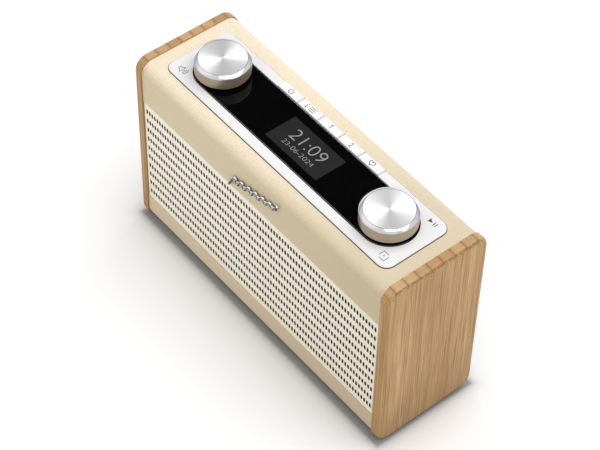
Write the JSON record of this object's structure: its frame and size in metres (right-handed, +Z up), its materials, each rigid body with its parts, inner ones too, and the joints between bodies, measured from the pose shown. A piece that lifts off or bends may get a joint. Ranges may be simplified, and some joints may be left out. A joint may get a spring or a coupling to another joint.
{
  "type": "tabletop radio",
  "caption": "Compact tabletop radio: leatherette sleeve between wooden ends, slotted front grille, top plate with screen, keys and turning knobs, folding telescopic aerial behind.",
  "frame": {"origin": "on the table, under the middle of the whole outline, aerial and ornament included", "axes": "+Z up, -Y out of the grille, +X to the right seen from the front"},
  "size_m": [0.221, 0.0768, 0.1421],
  "materials": {
    "leatherette": "fine grain, matte",
    "board": "raw fibreboard",
    "laminated_wood": "oiled, satin",
    "grille_paint": "powder coat",
    "cloth": "woven",
    "paper_pulp": "pressed pulp",
    "soft_rubber": "matte",
    "foam": "closed cell",
    "plated_steel": "zinc plated",
    "magnet": "sintered",
    "chrome": "polished",
    "spun_metal": "spun, clear lacquer",
    "white_plastic": "satin moulded",
    "key_plastic": "satin moulded",
    "lens_black": "polished",
    "screen_glass": "polished",
    "knob_lacquer": "satin lacquer",
    "cover_plastic": "fine texture",
    "circuit_board": "solder mask",
    "black_plastic": "moulded",
    "cable_skin": "flat cable",
    "lead_skin": "insulation"
  },
  "bodies": {
    "cabinet": {"cabinet_sleeve": "board", "leatherette_wrap": "leatherette", "end_panel_left": "laminated_wood", "end_panel_right": "laminated_wood", "end_dowels": "board", "feet": "soft_rubber", "foot_screws": "plated_steel", "front_grille": "grille_paint", "speaker_cloth": "cloth", "baffle": "board", "driver_gasket": "foam", "driver_frame": "plated_steel", "driver_magnet": "magnet", "driver_cone": "paper_pulp", "driver_surround": "soft_rubber", "driver_dust_cap": "paper_pulp", "driver_screws": "plated_steel", "badge": "chrome", "control_plate": "white_plastic", "plate_seal": "soft_rubber", "lens_panel": "lens_black", "display_module": "screen_glass", "control_board": "circuit_board", "control_screws": "plated_steel", "key_switches": "black_plastic", "volume_encoder": "plated_steel", "select_encoder": "plated_steel", "encoder_nuts": "plated_steel", "rear_cover": "cover_plastic", "rear_screws": "plated_steel", "corner_blocks": "board", "main_board": "circuit_board", "main_board_screws": "plated_steel", "tuner_shield": "plated_steel", "board_capacitors": "spun_metal", "power_inlet": "black_plastic", "headphone_socket": "black_plastic", "service_socket": "plated_steel", "ribbon_cable": "cable_skin", "speaker_leads": "lead_skin", "aerial_lead": "lead_skin"},
    "volume_dial": {"volume_shaft": "plated_steel", "volume_knob": "knob_lacquer", "volume_knob_cap": "spun_metal"},
    "select_push": {"select_plunger": "black_plastic"},
    "select_dial": {"select_shaft": "plated_steel", "select_knob": "knob_lacquer", "select_knob_cap": "spun_metal"},
    "power_key": {"key_power": "key_plastic"},
    "menu_key": {"key_menu": "key_plastic"},
    "preset_1_key": {"key_preset_1": "key_plastic"},
    "preset_2_key": {"key_preset_2": "key_plastic"},
    "favourite_key": {"key_favourite": "key_plastic"},
    "aerial_base": {"aerial_pivot": "chrome"},
    "aerial_arm": {"aerial_tube_1": "chrome"},
    "aerial_slide_1": {"aerial_tube_2": "chrome"},
    "aerial_slide_2": {"aerial_tube_3": "chrome"},
    "aerial_slide_3": {"aerial_rod": "chrome"}
  },
  "joints": [
    {"name": "volume_turn", "type": "hinge", "parent": "cabinet", "child": "volume_dial", "pos_m": [-0.071, -0.00375, 0.1373], "axis": [0, 0, -1], "continuous": true},
    {"name": "select_press", "type": "slide", "parent": "cabinet", "child": "select_push", "axis": [0, 0, -1], "range_m": [0, 0.0005], "stiffness_N_per_m": 1500, "springref_m": -0.001},
    {"name": "select_turn", "type": "hinge", "parent": "select_push", "child": "select_dial", "pos_m": [0.071, -0.00375, 0.1373], "axis": [0, 0, -1], "continuous": true},
    {"name": "power_key_press", "type": "slide", "parent": "cabinet", "child": "power_key", "axis": [0, 0, -1], "range_m": [0, 0.0005], "stiffness_N_per_m": 1500, "springref_m": -0.001},
    {"name": "menu_key_press", "type": "slide", "parent": "cabinet", "child": "menu_key", "axis": [0, 0, -1], "range_m": [0, 0.0005], "stiffness_N_per_m": 1500, "springref_m": -0.001},
    {"name": "preset_1_key_press", "type": "slide", "parent": "cabinet", "child": "preset_1_key", "axis": [0, 0, -1], "range_m": [0, 0.0005], "stiffness_N_per_m": 1500, "springref_m": -0.001},
    {"name": "preset_2_key_press", "type": "slide", "parent": "cabinet", "child": "preset_2_key", "axis": [0, 0, -1], "range_m": [0, 0.0005], "stiffness_N_per_m": 1500, "springref_m": -0.001},
    {"name": "favourite_key_press", "type": "slide", "parent": "cabinet", "child": "favourite_key", "axis": [0, 0, -1], "range_m": [0, 0.0005], "stiffness_N_per_m": 1500, "springref_m": -0.001},
    {"name": "aerial_swing", "type": "hinge", "parent": "cabinet", "child": "aerial_base", "pos_m": [0.088, 0.03545, 0.0993], "axis": [0, 1, 0], "range_deg": [0, 180]},
    {"name": "aerial_fold", "type": "hinge", "parent": "aerial_base", "child": "aerial_arm", "pos_m": [0.088, 0.03545, 0.0993], "axis": [0, 0, -1], "range_deg": [0, 90]},
    {"name": "aerial_pull_1", "type": "slide", "parent": "aerial_arm", "child": "aerial_slide_1", "axis": [-1, 0, 0], "range_m": [0, 0.1]},
    {"name": "aerial_pull_2", "type": "slide", "parent": "aerial_slide_1", "child": "aerial_slide_2", "axis": [-1, 0, 0], "range_m": [0, 0.1]},
    {"name": "aerial_pull_3", "type": "slide", "parent": "aerial_slide_2", "child": "aerial_slide_3", "axis": [-1, 0, 0], "range_m": [0, 0.1]}
  ]
}
